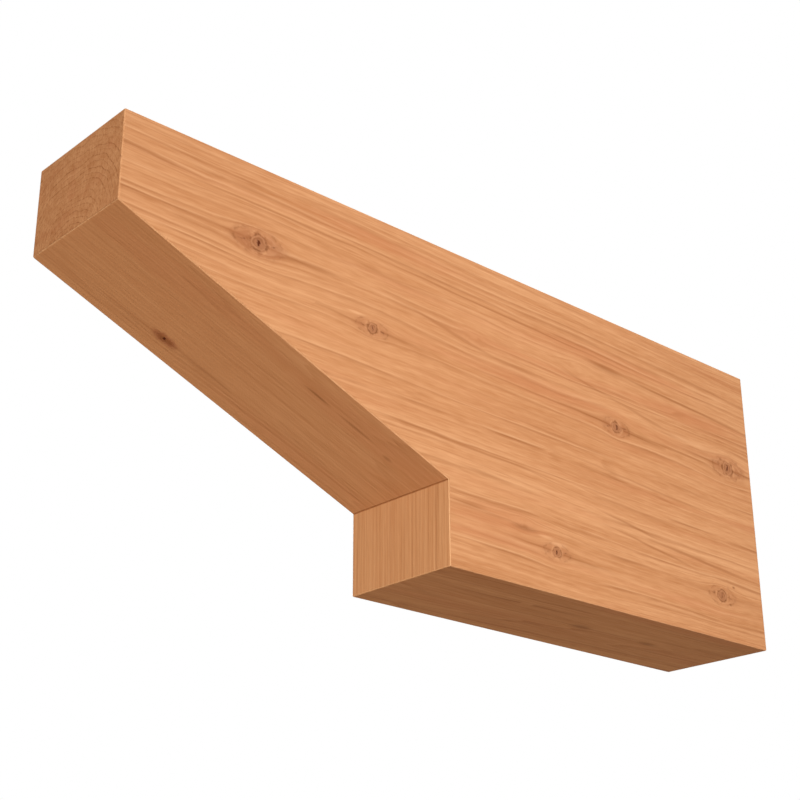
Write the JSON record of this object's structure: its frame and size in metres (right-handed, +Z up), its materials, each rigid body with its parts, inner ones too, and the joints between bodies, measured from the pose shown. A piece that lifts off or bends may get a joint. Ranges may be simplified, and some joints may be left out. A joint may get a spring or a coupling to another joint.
{
  "type": "rafter tail",
  "caption": "Solid timber rafter tail with a level top, a plumb tip, a slanted soffit that drops to a plumb step and a level seat, and a square wall end.",
  "frame": {"origin": "on the underside plane, in the middle of the overall length and of the width", "axes": "+X along the timber from the tip to the wall end, +Y across its width, +Z up, away from the level seat"},
  "size_m": [0.632, 0.1016, 0.2413],
  "materials": {
    "timber": "planed softwood, matt and uncoated, with fine straight grain and small tight knots"
  },
  "bodies": {
    "root": {"rafter_tail": "timber"}
  },
  "joints": []
}
